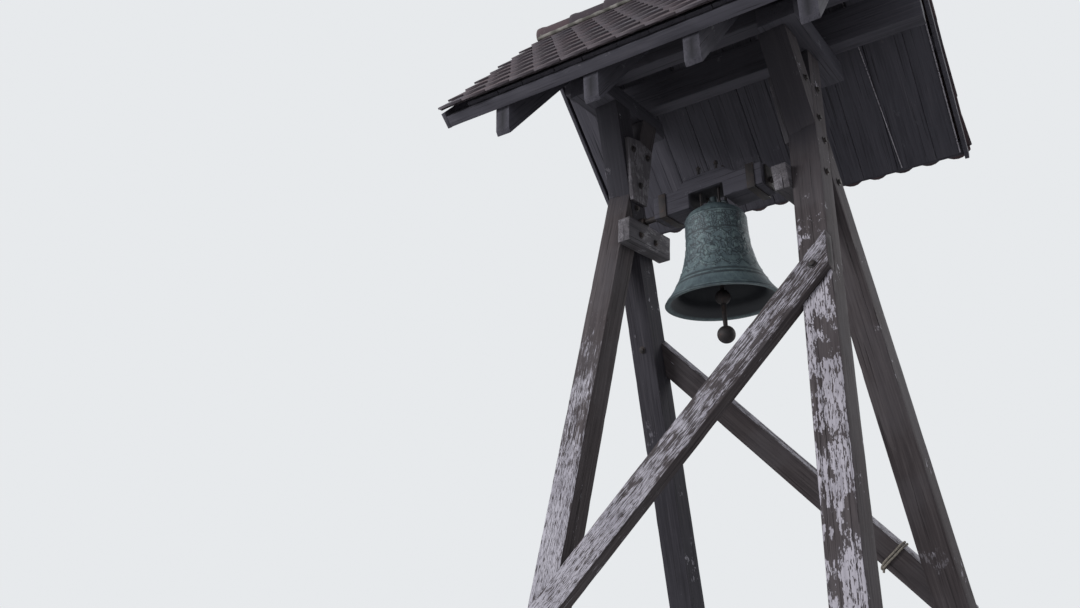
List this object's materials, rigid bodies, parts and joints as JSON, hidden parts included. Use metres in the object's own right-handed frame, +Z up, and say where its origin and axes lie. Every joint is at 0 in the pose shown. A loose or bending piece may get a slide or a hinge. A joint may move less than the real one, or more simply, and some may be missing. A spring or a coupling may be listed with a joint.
{
  "type": "wooden bell tower",
  "caption": "Open timber bell frame of crossed leaning legs with diagonal braces, a small tiled saddle roof, and a bronze bell with clapper on a humped swinging yoke.",
  "frame": {"origin": "on the ground, midway between the four feet and below the middle of the bell", "axes": "+Z up; X along the yoke, +X to the right seen from the front; -Y to the front. The roof is turned 6.5 degrees on the legs"},
  "size_m": [2.9149, 2.8426, 5.8117],
  "materials": {
    "weathered_timber": "dark stain with flaking pale paint",
    "bare_timber": "grey weathered",
    "roof_timber": "dark stain",
    "clay_tiles": "matt fired clay",
    "bell_bronze": "green patina",
    "iron": "rusty black",
    "rope": "twisted hemp"
  },
  "bodies": {
    "frame": {"right_front_leg": "weathered_timber", "right_back_leg": "weathered_timber", "left_front_leg": "weathered_timber", "left_back_leg": "weathered_timber", "right_crossing_bolts": "iron", "left_crossing_bolts": "iron", "right_crossing_plank": "bare_timber", "left_crossing_plank": "bare_timber", "front_brace": "weathered_timber", "back_brace": "weathered_timber", "brace_bolts": "iron", "right_bearing_block": "bare_timber", "left_bearing_block": "bare_timber", "right_block_bolts": "iron", "left_block_bolts": "iron", "right_bearing": "iron", "left_bearing": "iron", "right_cross_beam": "roof_timber", "left_cross_beam": "roof_timber", "front_carrier": "roof_timber", "back_carrier": "roof_timber", "front_rafters": "roof_timber", "back_rafters": "roof_timber", "front_purlins": "roof_timber", "back_purlins": "roof_timber", "front_roof_boards": "roof_timber", "back_roof_boards": "roof_timber", "right_barge_boards": "roof_timber", "left_barge_boards": "roof_timber", "front_tiles": "clay_tiles", "back_tiles": "clay_tiles", "ridge_tiles": "clay_tiles", "rope_lashing": "rope"},
    "bell": {"yoke": "bare_timber", "yoke_bands": "iron", "crown_bolts": "iron", "right_gudgeon": "iron", "left_gudgeon": "iron", "bell": "bell_bronze", "bell_crown": "bell_bronze", "clapper_staple": "iron"},
    "clapper": {"clapper": "iron"}
  },
  "joints": [
    {"name": "bell_swing", "type": "hinge", "parent": "frame", "child": "bell", "pos_m": [0, 0, 3.974], "axis": [1, 0, 0], "range_deg": [-60, 60]},
    {"name": "clapper_swing", "type": "hinge", "parent": "bell", "child": "clapper", "pos_m": [0, 0, 3.832], "axis": [1, 0, 0], "range_deg": [-23, 23]}
  ]
}
